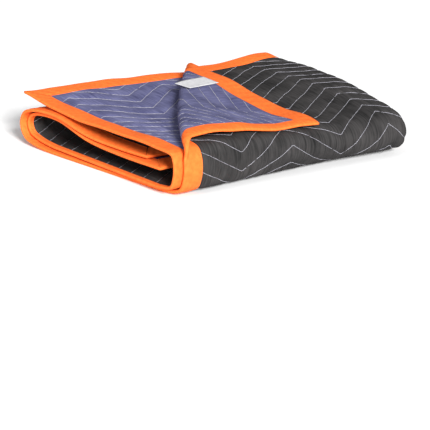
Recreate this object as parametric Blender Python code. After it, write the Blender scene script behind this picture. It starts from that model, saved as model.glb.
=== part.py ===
"""A quilted moving pad, folded for storage.

The pad is one rectangle of quilted cloth, black on one side and blue on the other, bound all round.
It is folded in half across its width, blue side in, so that it is two sheets joined at a round
closed end (+X) and open at its two bound side edges (-X). The doubled pad is then folded in thirds
along its length: a top run, a front fold (-Y), a bottom run, a rear fold (+Y) and an inner run.
The open corner of the upper sheet is folded back over the top run, so its blue side shows.

A place on the cloth is (across, along, off): metres across the pad from the middle of the closed
end (negative on the under sheet, positive on the upper one), metres along the folds from the rear
edge of the top run, and metres off the middle of the cloth towards its black side.
"""
import math

import bpy
import numpy as np
from mathutils import Vector
from mathutils.geometry import delaunay_2d_cdt

# --- sizes in metres -----------------------------------------------------------------------------
PAD_WIDTH = 1.37              # across both sheets, 54 in
PAD_LENGTH = 1.83             # along the three runs, 72 in
HALF_WIDTH = PAD_WIDTH / 2

CLOTH_HALF = 0.0045           # half the thickness of the pad, also over its bound edge
PLY_GAP = 0.00025             # from the middle of the pad to each face panel
BINDING_THICK = 0.0010
BINDING_GAP = 0.0011          # between the binding and the faces it folds round
NOSE_GAP = 0.0012             # and between it and their edge
PRESSED_HALF = CLOTH_HALF - BINDING_THICK - BINDING_GAP   # the panels where the binding holds them
PUFF_RAMP = 0.015             # over which they fill out again beside the binding

SHEET_HALF = 0.0056           # half the distance between the middles of the two sheets
CLOSED_END_X = 0.324          # centre of the round of the closed end
CLOSED_END_RADIUS = 0.0100    # of the middle of the cloth there
SETTLE = 0.12                 # length over which the sheets close up behind that round
REAR_LONGER = 0.036           # share by which the rear is longer than the middle, and the front shorter
UPPER_REAR_OUT = 0.015        # how far the upper sheet's side edge stands out at the rear
UPPER_FRONT_IN = 0.021        # and how far it stands back at the front
DEPTH_HALF = 0.28             # half the depth that these four are measured over

FLOOR_LINE = SHEET_HALF + CLOTH_HALF      # height of the doubled pad's middle where it lies flat

# The line between the two sheets, at the open end and at the closed end. The steps between the
# rows follow one smooth curve.
# place            y open   z open   y closed z closed
FOLD_PATH = (
    ("top rear edge",  0.3120, 0.1350,  0.2650, 0.1300),
    ("top rear",       0.1950, 0.1220,  0.1900, 0.1270),
    ("top middle",     0.0600, 0.1150,  0.0600, 0.1270),
    ("top front",     -0.0910, 0.1140, -0.0920, 0.1180),
    ("front brow",    -0.2060, 0.1160, -0.1920, 0.1020),
    ("front upper",   -0.2750, 0.1090, -0.2580, 0.0930),
    ("front shoulder", -0.2855, 0.0915, -0.2860, 0.0815),
    ("front nose",    -0.2880, 0.0710, -0.2985, 0.0560),
    ("front foot",    -0.2845, 0.0460, -0.2880, 0.0305),
    ("front lower",   -0.2720, 0.0220, -0.2620, 0.0185),
    ("bottom front",  -0.2150, 0.0101, -0.2110, 0.0101),
    ("bottom middle",  0.0000, 0.0101,  0.0000, 0.0101),
    ("bottom rear",    0.1900, 0.0101,  0.1900, 0.0101),
    ("rear lower",     0.2630, 0.0175,  0.2620, 0.0165),
    ("rear foot",      0.2935, 0.0285,  0.2925, 0.0255),
    ("rear nose",      0.3055, 0.0530,  0.3015, 0.0450),
    ("rear shoulder",  0.2940, 0.0770,  0.2925, 0.0650),
    ("rear upper",     0.2655, 0.0895,  0.2620, 0.0725),
    ("inner rear",     0.1740, 0.0950,  0.1900, 0.0660),
    ("inner dip",      0.0480, 0.0710,  0.0600, 0.0620),
    ("inner front",   -0.0790, 0.0650, -0.0800, 0.0570),
    ("inner end",     -0.2320, 0.0670, -0.2620, 0.0540),
)
PATH_STEPS = 1600             # points kept along each of the two curves
PATH_SPARE = 0.002            # how far the curves run on past the cloth at both ends
INNER_START = 1.60            # along, from where the inner run's end is squared up

# The corner that is folded back, measured from the upper sheet's rear open corner.
CREASE_ON_REAR = 0.457        # from the corner to the crease, along the rear edge
CREASE_ON_SIDE = 0.634        # and along the side edge
RADIUS_AT_REAR = 0.0085       # of the middle of the cloth round the crease, at the rear edge
RADIUS_AT_SIDE = 0.0136       # and at the side edge
FLAP_HEIGHT = 0.0120          # of the folded corner's middle above the upper sheet's where it lies on it
FLAP_SETTLE = 0.167           # length past the crease in which it comes down to that
TIP_LIFT = 0.008              # how far the corner's tip stands up
TIP_BEND = 0.12               # length over which it does
SPAN_LIFT = 0.0064            # how far the corner's side edge stands off the brow beside the crease
SPAN_LONG = 0.225             # length past the crease over which it does
SPAN_WIDE = 0.20              # and how far in from the side edge
TIP_SLEW_ACROSS = -0.475      # how the corner is drawn aside from its mirror place, for each metre
TIP_SLEW_ALONG = 0.451        # past the crease

LABEL_LENGTH = 0.105
LABEL_WIDTH = 0.052
LABEL_THICK = 0.0008
LABEL_GAP = 0.0009            # between the label and the cloth under it
LABEL_ACROSS = 0.396          # place of the middle of its sewn end, beside the rear binding
LABEL_ALONG = 0.0752
LABEL_TURN = 16.0             # degrees from square to the rear edge
LABEL_DROOP = 5.5             # how fast it falls past the crease: metres for each square metre
LABEL_FACES = 5

CENTRE_X = -0.02503           # middle of the folded pad before it is moved over the origin
CENTRE_Y = 0.00150

# --- how finely the cloth is cut into faces ------------------------------------------------------
TURN_PER_ROW = math.radians(21.5)
LONGEST_ROW = 0.17
CLOSED_END_FACES = 4
COLUMN_STEPS = (0.05, 0.12, 0.30, 0.48)     # from the closed end's round towards each side edge
CREASE_FACES = 6
CREASE_LEAD = 0.004           # how far before the crease a first line runs
CREASE_REACH = 0.08           # length past the crease, where the folded corner bends
BROW_ROWS = (0.50, 0.57, 0.592, 0.606, 0.62)     # along, where the folded corner bends over the brow
MITRE_GAP = 0.0004            # from a binding's end to its corner's mitre line
WELD = 0.0002                 # crossings nearer than this are one point
SHEAR = 0.1                   # makes the faces of both sheets split along matching diagonals
LINE_PAST = 0.0005            # how far a line runs on past the cloth's edge, so that it cuts it
TOUCH = 0.0003                # a point nearer than this to a line lies on it

# The pad's edges: the direction out of the cloth at each, as (across, along), and how far in its
# binding reaches on the black side and on the blue side.
# edge            out of the cloth   black   blue
EDGES = {
    "upper side": ((1.0, 0.0),       0.050,  0.020),
    "under side": ((-1.0, 0.0),      0.012,  0.038),
    "rear edge":  ((0.0, -1.0),      0.050,  0.050),
    "inner end":  ((0.0, 1.0),       0.060,  0.060),
}
FLAP_REAR_WIDTH = 0.074       # the rear one on the upper sheet's blue side, before the corner's slew
UPPER_WIDTH, UNDER_WIDTH, REAR_WIDTH, INNER_WIDTH = [row[1] for row in EDGES.values()]
UPPER_BLUE_WIDTH, UNDER_BLUE_WIDTH = EDGES["upper side"][2], EDGES["under side"][2]
# The mitres: across at the corner, across at their inner end, and the rear binding's width there.
MITRES = (
    (HALF_WIDTH, HALF_WIDTH - UPPER_WIDTH, REAR_WIDTH),
    (HALF_WIDTH, HALF_WIDTH - UPPER_BLUE_WIDTH, FLAP_REAR_WIDTH),
    (-HALF_WIDTH, UNDER_WIDTH - HALF_WIDTH, REAR_WIDTH),
    (-HALF_WIDTH, UNDER_BLUE_WIDTH - HALF_WIDTH, REAR_WIDTH),
)

# --- colours: red, green, blue, roughness ----------------------------------------------------------
FINISHES = {
    "black face": ((0.020, 0.020, 0.023), 0.85),
    "blue face": ((0.145, 0.145, 0.330), 0.85),
    "orange binding": ((0.900, 0.210, 0.045), 0.75),
    "white label": ((0.800, 0.800, 0.800), 0.60),
}


def smooth(value):
    """0 to 1, level at both ends."""
    held = np.clip(value, 0.0, 1.0)
    return held * held * (3.0 - 2.0 * held)


# --- the folded line ---------------------------------------------------------------------------------
def smooth_curve(points):
    """A centripetal curve through the points, as PATH_STEPS points an equal distance apart."""
    ends = np.vstack([2 * points[0] - points[1], points, 2 * points[-1] - points[-2]])
    count = len(points) - 1
    place = np.linspace(0.0, count, PATH_STEPS)
    step = np.minimum(place.astype(int), count - 1)
    part = (place - step)[:, None]
    before, start, end, after = (ends[step + offset] for offset in range(4))
    root_in = np.sqrt(np.linalg.norm(start - before, axis=1, keepdims=True))
    root = np.sqrt(np.linalg.norm(end - start, axis=1, keepdims=True))
    root_out = np.sqrt(np.linalg.norm(after - end, axis=1, keepdims=True))
    slope_start = root * ((start - before) / root_in - (end - before) / (root_in + root)
                          + (end - start) / root)
    slope_end = root * ((end - start) / root - (after - start) / (root + root_out)
                        + (after - end) / root_out)
    square, cube = part ** 2, part ** 3
    curve = ((2 * cube - 3 * square + 1) * start + (cube - 2 * square + part) * slope_start
             + (3 * square - 2 * cube) * end + (cube - square) * slope_end)
    curve[:, 1] = np.maximum(curve[:, 1], FLOOR_LINE)
    reach = np.concatenate([[0.0], np.cumsum(np.linalg.norm(np.diff(curve, axis=0), axis=1))])
    even = np.linspace(0.0, reach[-1], PATH_STEPS)
    return np.stack([np.interp(even, reach, curve[:, axis]) for axis in (0, 1)], axis=1)


def path_turning(curve):
    """How far the curve has turned at each of its points, in radians."""
    heading = np.gradient(curve, axis=0)
    return np.unwrap(np.arctan2(heading[:, 1], heading[:, 0]))


PATH_TABLE = np.array([row[1:] for row in FOLD_PATH])
OPEN_PATH = smooth_curve(PATH_TABLE[:, 0:2])
CLOSED_PATH = smooth_curve(PATH_TABLE[:, 2:4])
TURNING = path_turning(OPEN_PATH)
END_LAG = SHEET_HALF * abs(TURNING[-1] - TURNING[0])     # what the outer sheet loses round both folds
PATH_LENGTH = PAD_LENGTH + END_LAG


def path_frame(along, x):
    """The folded line's y and z, and its outward direction, at a place along it and an x."""
    index = (along + PATH_SPARE) / (PATH_LENGTH + 2 * PATH_SPARE) * (PATH_STEPS - 1)
    held = np.clip(index, 2, PATH_STEPS - 3)
    steps = np.arange(PATH_STEPS)
    share = smooth((x + 0.33) / 0.66)[..., None]

    def point(at):
        opened = np.stack([np.interp(at, steps, OPEN_PATH[:, axis]) for axis in (0, 1)], axis=-1)
        closed = np.stack([np.interp(at, steps, CLOSED_PATH[:, axis]) for axis in (0, 1)], axis=-1)
        return opened * (1 - share) + closed * share

    step = (point(held + 2) - point(held - 2)) / 4
    heading = step / np.linalg.norm(step, axis=-1, keepdims=True)
    outward = np.stack([heading[..., 1], -heading[..., 0]], axis=-1)
    return point(held) + step * (index - held)[..., None], outward      # straight on past both ends


# --- from the cloth to space ---------------------------------------------------------------------------
def doubled_point(across, along, off):
    """Where a place on the cloth lies, with the corner not yet folded back."""
    across, along, off = np.broadcast_arrays(across, along, off)
    side = np.sign(across)
    round_half = math.pi * CLOSED_END_RADIUS / 2
    run = np.maximum(np.abs(across) - round_half, 0.0)
    turn = np.clip(across / CLOSED_END_RADIUS, -math.pi / 2, math.pi / 2)
    settled = smooth(run / SETTLE)
    radius = CLOSED_END_RADIUS + off
    x_end = CLOSED_END_X + radius * np.cos(turn) * (run == 0.0)
    from_line = radius * np.sin(turn) + side * (SHEET_HALF - CLOSED_END_RADIUS) * settled
    lift = (CLOSED_END_RADIUS - SHEET_HALF) * (1 - settled)
    middle, outward = path_frame(along, x_end - run)
    rearward = middle[..., 0] / DEPTH_HALF
    front_share = np.clip((1 - rearward) / 2, 0.0, 1.0)
    side_shift = UPPER_FRONT_IN * front_share - UPPER_REAR_OUT * (1 - front_share)
    x = x_end - run * (1 + REAR_LONGER * rearward)
    x = x + side_shift * (run / HALF_WIDTH) * (side > 0)
    y = middle[..., 0] + from_line * outward[..., 0]
    z = middle[..., 1] + from_line * outward[..., 1] + lift
    return np.stack([x, y, z], axis=-1)


CREASE_SPAN = math.hypot(CREASE_ON_REAR, CREASE_ON_SIDE)
PAST_ACROSS = CREASE_ON_SIDE / CREASE_SPAN     # direction square to the crease, away from the corner
PAST_ALONG = CREASE_ON_REAR / CREASE_SPAN
CORNER_PAST = CREASE_ON_REAR * CREASE_ON_SIDE / CREASE_SPAN


def crease_radius(crease_along):
    """The radius round the crease, at a place along it."""
    share = np.clip(crease_along / CREASE_ON_SIDE, 0.0, 1.0)
    return RADIUS_AT_REAR + (RADIUS_AT_SIDE - RADIUS_AT_REAR) * share


FLAP_END = CORNER_PAST - math.pi * crease_radius(0.5 * CREASE_ON_SIDE)


def past_crease(across, along):
    """How far a place lies past the crease, towards the folded corner."""
    return CORNER_PAST - (HALF_WIDTH - across) * PAST_ACROSS - along * PAST_ALONG


def cloth_point(across, along, off):
    """Where a place on the cloth lies, corner folded back."""
    across, along, off = np.broadcast_arrays(across, along, off)
    past = past_crease(across, along)
    crease_across = across - past * PAST_ACROSS
    crease_along = along + past * PAST_ALONG
    radius = crease_radius(crease_along)
    turn = np.clip(past / radius, 0.0, math.pi)
    flat = np.maximum(past - math.pi * radius, 0.0)
    drop = (2 * radius - FLAP_HEIGHT) * smooth(flat / FLAP_SETTLE)
    drop = drop - TIP_LIFT * smooth((flat - FLAP_END + TIP_BEND) / TIP_BEND)
    span = np.clip(flat / SPAN_LONG, 0.0, 1.0)
    drop = drop - SPAN_LIFT * 4 * span * (1 - span) * (1 - smooth((HALF_WIDTH - across) / SPAN_WIDE))
    above = radius - (radius - off) * np.cos(turn) - drop
    inward = flat - (radius - off) * np.sin(turn)
    laid_across = crease_across - inward * PAST_ACROSS - flat * TIP_SLEW_ACROSS
    laid_along = crease_along + inward * PAST_ALONG + flat * TIP_SLEW_ALONG
    folded = doubled_point(laid_across, laid_along, above)
    return np.where((past > 0)[..., None], folded, doubled_point(across, along, off))


# --- cutting the cloth into faces ------------------------------------------------------------------------
def end_along(across):
    """Where the inner end lies along the folded line: the outer sheet ends sooner."""
    return PAD_LENGTH - END_LAG * across / HALF_WIDTH


def squared_up(across, along):
    """The inner run's rows lean until the last one lies on the inner end."""
    squared = PAD_LENGTH - INNER_WIDTH - PUFF_RAMP
    share = smooth((along - INNER_START) / (squared - INNER_START))
    return along - share * END_LAG * across / HALF_WIDTH


def fold_rows():
    """Places along the cloth for a row: one for each TURN_PER_ROW of bend or LONGEST_ROW."""
    even = np.linspace(-PATH_SPARE, PATH_LENGTH + PATH_SPARE, PATH_STEPS)
    rows_by = np.cumsum(np.abs(np.gradient(TURNING)) / TURN_PER_ROW + np.gradient(even) / LONGEST_ROW)
    ends = [REAR_WIDTH + PUFF_RAMP, PAD_LENGTH - INNER_WIDTH - PUFF_RAMP]
    low, high = np.interp(ends, even, rows_by)
    return np.interp(np.linspace(low, high, int(round(high - low)) + 1), rows_by, even)


def sheet_columns():
    """Places across the cloth for a column."""
    round_half = math.pi * CLOSED_END_RADIUS / 2
    columns = list(np.linspace(-round_half, round_half, CLOSED_END_FACES + 1))
    for side in (-1, 1):
        columns += [side * (round_half + step) for step in COLUMN_STEPS]
    columns += [inset - HALF_WIDTH for inset in (UNDER_WIDTH, UNDER_BLUE_WIDTH, UNDER_BLUE_WIDTH + PUFF_RAMP)]
    columns += [HALF_WIDTH - inset for inset in (UPPER_BLUE_WIDTH, UPPER_WIDTH, UPPER_WIDTH + PUFF_RAMP)]
    return sorted(columns)


def crease_line(turn, beyond):
    """The ends, on the rear edge and on the side edge, of a line that lies so far round the crease
    (in radians) and so far beyond that (in metres)."""
    opening = (RADIUS_AT_SIDE - RADIUS_AT_REAR) / CREASE_ON_SIDE
    on_rear = (turn * RADIUS_AT_REAR + beyond) / (1 - turn * opening * PAST_ALONG)
    on_side = (turn * RADIUS_AT_SIDE + beyond) / (1 + turn * opening * (1 / PAST_ALONG - PAST_ALONG))
    rear_end = (HALF_WIDTH - (CORNER_PAST - on_rear) / PAST_ACROSS, 0.0)
    return rear_end, (HALF_WIDTH, (CORNER_PAST - on_side) / PAST_ALONG)


def brow_line(laid_along):
    """The line on the folded corner that lies at one place along the sheet under it."""
    ends = []
    for flat in (0.0, FLAP_END):
        crease_along = laid_along - flat * (PAST_ALONG + TIP_SLEW_ALONG)
        crease_across = HALF_WIDTH - CREASE_ON_REAR * (1 - crease_along / CREASE_ON_SIDE)
        past = flat + math.pi * crease_radius(crease_along)
        ends.append((crease_across + past * PAST_ACROSS, crease_along - past * PAST_ALONG))
    return tuple(ends)


def clipped(start, end):
    """The part of a line that lies on the cloth, and a little past its edges, or None."""
    first, last = 0.0, 1.0
    limits = (lambda p: HALF_WIDTH + p[0], lambda p: HALF_WIDTH - p[0],
              lambda p: p[1], lambda p: end_along(p[0]) - p[1])
    for inside in limits:
        at_start, at_end = inside(start) + LINE_PAST, inside(end) + LINE_PAST
        if at_start < 0 and at_end < 0:
            return None
        if at_start < 0:
            first = max(first, at_start / (at_start - at_end))
        if at_end < 0:
            last = min(last, at_start / (at_start - at_end))
    if last - first < 0.001:
        return None
    between = [tuple(a + (b - a) * share for a, b in zip(start, end)) for share in (first, last)]
    return tuple(between)


def cloth_lines():
    """Every line that the panels' faces are cut along."""
    lines = [((across, -0.01), (across, end_along(across) + 0.01)) for across in sheet_columns()]
    sides = (-HALF_WIDTH - 0.01, HALF_WIDTH + 0.01)
    for row in [REAR_WIDTH, *fold_rows(), PAD_LENGTH - INNER_WIDTH]:
        lines.append(tuple((side, squared_up(side, row)) for side in sides))
    lines += [crease_line(math.pi * step / CREASE_FACES, 0.0) for step in range(CREASE_FACES + 1)]
    lines += [crease_line(0.0, -CREASE_LEAD), crease_line(math.pi, CREASE_REACH)]
    lines += [brow_line(row) for row in BROW_ROWS]
    for row in (FLAP_REAR_WIDTH, FLAP_REAR_WIDTH + PUFF_RAMP):
        lines.append(((0.0, row), (HALF_WIDTH + 0.01, row)))
    for outer, inward, rear in MITRES:
        lines.append(((outer, 0.0), (inward, rear)))
        lines.append(((outer, end_along(outer)), (inward, end_along(inward) - INNER_WIDTH)))
    return [line for line in (clipped(*line) for line in lines) if line]


def cloth_triangles():
    """The flat cloth as points (across, along) and triangles."""
    def sheared(place):
        return Vector((place[0], place[1] + SHEAR * abs(place[0])))

    outline = [sheared((across, 0.0)) for across in (-HALF_WIDTH, 0.0, HALF_WIDTH)]
    outline += [sheared((across, end_along(across))) for across in (HALF_WIDTH, 0.0, -HALF_WIDTH)]
    points, edges = list(outline), []
    for start, end in cloth_lines():
        stops = [start, end]
        if start[0] * end[0] < 0:
            share = start[0] / (start[0] - end[0])
            stops.insert(1, (0.0, start[1] + (end[1] - start[1]) * share))
        for first, last in zip(stops, stops[1:]):
            edges.append((len(points), len(points) + 1))
            points += [sheared(first), sheared(last)]
    inside_only = 1
    result = delaunay_2d_cdt(points, edges, [list(range(len(outline)))], inside_only, WELD)
    used, faces = np.unique(np.array([tuple(face) for face in result[2]]), return_inverse=True)
    places = np.array([tuple(result[0][point]) for point in used])
    places[:, 1] -= SHEAR * np.abs(places[:, 0])
    return places, faces.reshape(-1, 3)


# --- solids ------------------------------------------------------------------------------------------------
def make_object(name, points, faces, finish):
    mesh = bpy.data.meshes.new(name)
    centred = [(x - CENTRE_X, y - CENTRE_Y, z) for x, y, z in points]
    mesh.from_pydata(centred, [], faces)
    mesh.validate()
    mesh.materials.append(finish)
    piece = bpy.data.objects.new(name, mesh)
    bpy.context.scene.collection.objects.link(piece)
    return piece


def drop_unused(points, faces):
    """The points that the faces use, and the faces numbered to match."""
    used = sorted({corner for face in faces for corner in face})
    place = {corner: index for index, corner in enumerate(used)}
    return points[used], [tuple(place[corner] for corner in face) for face in faces]


def make_finish(name):
    colour, roughness = FINISHES[name]
    finish = bpy.data.materials.new(name)
    finish.use_nodes = True
    shader = finish.node_tree.nodes["Principled BSDF"]
    shader.inputs["Base Color"].default_value = (*colour, 1.0)
    shader.inputs["Roughness"].default_value = roughness
    shader.inputs["Metallic"].default_value = 0.0
    return finish


def edge_insets(places):
    """How far places lie in from each of the four edges, in the order of EDGES."""
    across, along = places[:, 0], places[:, 1]
    return np.stack([HALF_WIDTH - across, HALF_WIDTH + across, along, end_along(across) - along], axis=1)


def binding_widths(places, face):
    """How far in the four bindings reach at places on the black face (1) or the blue face (2)."""
    widths = np.tile([row[face] for row in EDGES.values()], (len(places), 1))
    if face == 2:
        widths[places[:, 0] >= 0, list(EDGES).index("rear edge")] = FLAP_REAR_WIDTH
    return widths


def filled_half(places, face):
    """Half the pad's thickness: pressed under the binding, full beside it."""
    beside = (edge_insets(places) - binding_widths(places, face)).min(axis=1)
    return PRESSED_HALF + (CLOTH_HALF - PRESSED_HALF) * smooth(beside / PUFF_RAMP)


def make_panel(name, places, triangles, low, high, finish):
    """A closed panel between two distances off the middle of the cloth."""
    across, along = places[:, 0], places[:, 1]
    points = np.vstack([cloth_point(across, along, low), cloth_point(across, along, high)])
    count = len(places)
    near = [tuple(int(corner) for corner in face) for face in triangles]
    faces = [tuple(corner + count for corner in face) for face in near]
    faces += [face[::-1] for face in near]
    edges = {(face[k], face[(k + 1) % 3]) for face in near for k in range(3)}
    for start, end in sorted(edges):
        if (end, start) not in edges:
            faces.append((start, end, end + count, start + count))
    return make_object(name, points, faces, finish)


def covered(edge, face, places, triangles):
    """The panels' faces that a binding covers on one face of the cloth, and the places on its mitres."""
    column = list(EDGES).index(edge)
    middles = places[triangles].mean(axis=1)
    shares = edge_insets(middles) / binding_widths(middles, face)
    own = (shares.argmin(axis=1) == column) & (shares[:, column] < 1)
    widths = binding_widths(places, face)
    shares = edge_insets(places) / widths
    beside = np.delete(shares, column, axis=1).min(axis=1)
    on_mitre = np.abs(beside - shares[:, column]) * widths[:, column] < TOUCH
    return triangles[own], on_mitre


def make_binding(name, edge, places, triangles, finish):
    """A binding folded over one edge, in the panels' own faces as far as its mitres."""
    outward = np.array(EDGES[edge][0])
    sideways = np.abs(outward[::-1])
    insets = edge_insets(places)[:, list(EDGES).index(edge)]
    on_edge = insets < TOUCH
    outside, inside = CLOTH_HALF, CLOTH_HALF - BINDING_THICK
    strips, skins = [], []
    for face, layers in ((1, ((NOSE_GAP + BINDING_THICK, outside), (NOSE_GAP, inside))),
                         (2, ((NOSE_GAP, -inside), (NOSE_GAP + BINDING_THICK, -outside)))):
        strip, on_mitre = covered(edge, face, places, triangles)
        strips.append([tuple(int(corner) for corner in face) for face in strip])
        middle = places[strip].mean(axis=(0, 1))
        pull = np.sign((middle - places) @ sideways) * on_mitre * MITRE_GAP
        for out, off in layers:
            laid = places + pull[:, None] * sideways + (on_edge * out)[:, None] * outward
            skins.append(cloth_point(laid[:, 0], laid[:, 1], off))
    count, faces = len(places), []

    def add(corners):
        faces.append(tuple(corner + skin * count for corner, skin in corners))

    def wall(start, end, low, high):
        corners = ((start, low), (end, low), (end, high), (start, high))
        add(corners if low > high else corners[1:] + corners[:1])          # all split the same way

    for strip, facing_out, facing_in, low, high in ((strips[0], 0, 1, 1, 0), (strips[1], 2, 3, 3, 2)):
        for face in strip:
            add((corner, facing_out) for corner in face)
            add((corner, facing_in) for corner in face[::-1])
        edges = {(face[k], face[(k + 1) % 3]) for face in strip for k in range(3)}
        border = sorted((start, end) for start, end in edges if (end, start) not in edges)
        nose = [(start, end) for start, end in border if on_edge[start] and on_edge[end]]
        for start, end in border:
            if (start, end) not in nose:
                wall(start, end, low, high)
    for start, end in nose:
        wall(start, end, 3, 0)
        wall(start, end, 1, 2)
    starts, ends = {start for start, end in nose}, {end for start, end in nose}
    add((corner, skin) for corner in ends - starts for skin in (0, 3, 2, 1))
    add((corner, skin) for corner in starts - ends for skin in (3, 0, 1, 2))
    used, faces = drop_unused(np.vstack(skins), faces)
    return make_object(name, used, faces, finish)


def make_label(name, finish):
    """A label sewn flat at one end beside the rear binding, its free end drooping past the crease."""
    def on_corner(across, along):
        return Vector(cloth_point(across, along, -CLOTH_HALF))

    step = 0.004
    origin = on_corner(LABEL_ACROSS, LABEL_ALONG)
    inwards = (on_corner(LABEL_ACROSS - step, LABEL_ALONG) - origin).normalized()
    forwards = (on_corner(LABEL_ACROSS, LABEL_ALONG + step) - origin).normalized()
    up = inwards.cross(forwards).normalized()
    turn = math.radians(LABEL_TURN)
    length = (forwards * math.cos(turn) + up.cross(forwards) * math.sin(turn)).normalized()
    width = up.cross(length).normalized() * LABEL_WIDTH / 2
    crease = []
    for place in (0.05, 0.20):
        past = math.pi * crease_radius(place)
        on_line = HALF_WIDTH - CREASE_ON_REAR * (1 - place / CREASE_ON_SIDE)
        crease.append(on_corner(on_line + past * PAST_ACROSS, place - past * PAST_ALONG))
    beyond = (crease[1] - crease[0]).cross(up).normalized()
    beyond *= math.copysign(1.0, beyond.dot(length))
    points, faces = [], []
    for row in range(LABEL_FACES + 1):
        out = LABEL_LENGTH * row / LABEL_FACES
        low = []
        for side in (-1, 1):
            place = origin + length * out + width * side + up * LABEL_GAP
            past = max(0.0, (place - crease[0]).dot(beyond))
            low.append(place - up * LABEL_DROOP * past ** 2)
        points += [*low, low[1] + up * LABEL_THICK, low[0] + up * LABEL_THICK]
    for row in range(LABEL_FACES):
        for corner in range(4):
            here, beside = row * 4 + corner, row * 4 + (corner + 1) % 4
            face = (here, beside, beside + 4, here + 4)
            faces.append(face if corner < 2 else face[1:] + face[:1])      # both skins split alike
    faces += [(3, 2, 1, 0), tuple(LABEL_FACES * 4 + corner for corner in (0, 1, 2, 3))]
    return make_object(name, points, faces, finish)


def main():
    for piece in list(bpy.data.objects):
        bpy.data.objects.remove(piece, do_unlink=True)
    black, blue = make_finish("black face"), make_finish("blue face")
    orange, white = make_finish("orange binding"), make_finish("white label")
    places, triangles = cloth_triangles()
    make_panel("black_face_panel", places, triangles, PLY_GAP, filled_half(places, 1), black)
    make_panel("blue_face_panel", places, triangles, -filled_half(places, 2), -PLY_GAP, blue)
    for edge in EDGES:
        make_binding("binding_" + edge.replace(" ", "_"), edge, places, triangles, orange)
    make_label("blank_label", white)


main()
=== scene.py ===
# %% [markdown]
# # A quilted moving pad, folded for storage
#
# The real thing is one padded cloth, 54 by 72 inches, black on one side and blue on the other,
# quilted in zigzag rows and bound all round with orange tape. It lies folded in half across its
# width and then in thirds along its length, and one open corner is turned back to show the blue.
#
# Cloth like this could be simulated, but a simulation seldom lands in a wanted fold. Here every
# point of the flat cloth has a place in the fold that is worked out by rule, so the panels, the
# tape, the stitches and the label are all made flat and then laid through the same rule. That
# keeps their sizes true and lets them touch without cutting into each other.

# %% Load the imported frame
import math

import bpy
import numpy as np
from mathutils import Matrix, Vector
from mathutils.geometry import delaunay_2d_cdt


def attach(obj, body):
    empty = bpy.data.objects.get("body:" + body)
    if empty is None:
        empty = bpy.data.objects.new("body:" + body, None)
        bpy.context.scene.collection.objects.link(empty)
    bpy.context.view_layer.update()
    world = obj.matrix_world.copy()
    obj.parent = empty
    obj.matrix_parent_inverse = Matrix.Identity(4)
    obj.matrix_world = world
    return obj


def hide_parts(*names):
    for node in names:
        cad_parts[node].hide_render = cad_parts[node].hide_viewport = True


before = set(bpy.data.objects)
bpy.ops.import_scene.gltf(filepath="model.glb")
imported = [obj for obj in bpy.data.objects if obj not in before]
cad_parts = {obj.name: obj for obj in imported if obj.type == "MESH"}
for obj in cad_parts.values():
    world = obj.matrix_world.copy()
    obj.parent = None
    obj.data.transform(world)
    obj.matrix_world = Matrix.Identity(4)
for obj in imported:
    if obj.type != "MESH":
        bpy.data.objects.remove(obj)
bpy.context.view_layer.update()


def add_object(name, data):
    """A new object in the scene that shows the data."""
    made = bpy.data.objects.new(name, data)
    bpy.context.scene.collection.objects.link(made)
    return made


def point_along(thing, direction):
    """Turn a camera or a lamp to look along a direction."""
    thing.rotation_mode = "QUATERNION"
    thing.rotation_quaternion = direction.to_track_quat("-Z", "Y")


# %% [markdown]
# ## The camera
#
# The camera comes first, because every later choice is judged through it. It stands low over the
# front open corner, so that the front fold and the open side both show. A long lens keeps the far
# edges nearly parallel to the near ones, as a product shot does. Its place is worked out backwards
# from a known point of the pad and the spot in the picture where that point should fall.

# %% Place the camera
PICTURE_SIZE = 430                       # the picture is square, in pixels
LENS_PIXELS = 1800.0                     # focal length, in the same pixels
SENSOR_WIDTH = 36.0
CAMERA_AZIMUTH = math.radians(-34.42)
CAMERA_HEIGHT = math.radians(18.55)
CAMERA_DISTANCE = 4.0675
SIGHT_END = 50.0
PAD_MIDDLE = Vector((-0.02503, 0.00150, 0.0))         # the fold rule's own middle, moved to the origin
AIM_POINT = Vector((-0.30, -0.27, 0.0)) - PAD_MIDDLE
AIM_PIXEL = (179.25, 197.2)

towards = Vector((-math.sin(CAMERA_AZIMUTH) * math.cos(CAMERA_HEIGHT),
                  math.cos(CAMERA_AZIMUTH) * math.cos(CAMERA_HEIGHT), -math.sin(CAMERA_HEIGHT)))
rightwards = Vector((math.cos(CAMERA_AZIMUTH), math.sin(CAMERA_AZIMUTH), 0.0))
upwards = rightwards.cross(towards)
middle = PICTURE_SIZE / 2
sight = (towards + rightwards * (AIM_PIXEL[0] - middle) / LENS_PIXELS
         + upwards * (middle - AIM_PIXEL[1]) / LENS_PIXELS)

camera = add_object("camera", bpy.data.cameras.new("camera"))
bpy.context.scene.camera = camera
camera.data.sensor_width = SENSOR_WIDTH
camera.data.lens = LENS_PIXELS * SENSOR_WIDTH / PICTURE_SIZE
camera.data.clip_end = SIGHT_END
camera.location = AIM_POINT - sight * CAMERA_DISTANCE
point_along(camera, towards)
print("camera at", [round(value, 3) for value in camera.location], "lens", round(camera.data.lens), "mm")

# %% [markdown]
# ## The flat cloth and its names
#
# A place on the cloth is (across, along, off): metres across the pad from the middle of the closed
# end, negative on the under sheet and positive on the upper one, metres along the folds from the
# rear edge of the top run, and metres off the middle of the cloth towards its black side. The CAD
# model uses these names too, and nearly the same sizes, because both have to lie in one place.

# %% Sizes of the cloth
PAD_WIDTH = 1.37
PAD_LENGTH = 1.83
HALF_WIDTH = PAD_WIDTH / 2
CLOTH_HALF = 0.0045                      # half the pad's thickness
SHEET_HALF = 0.0056                      # half the distance between the middles of the two sheets
CLOSED_END_X = 0.324
CLOSED_END_RADIUS = 0.0100
SETTLE = 0.12                            # length over which the sheets close up behind that round
REAR_LONGER = 0.036
UPPER_REAR_OUT = 0.015
UPPER_FRONT_IN = 0.021
DEPTH_HALF = 0.28
FLOOR_LINE = SHEET_HALF + CLOTH_HALF

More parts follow.
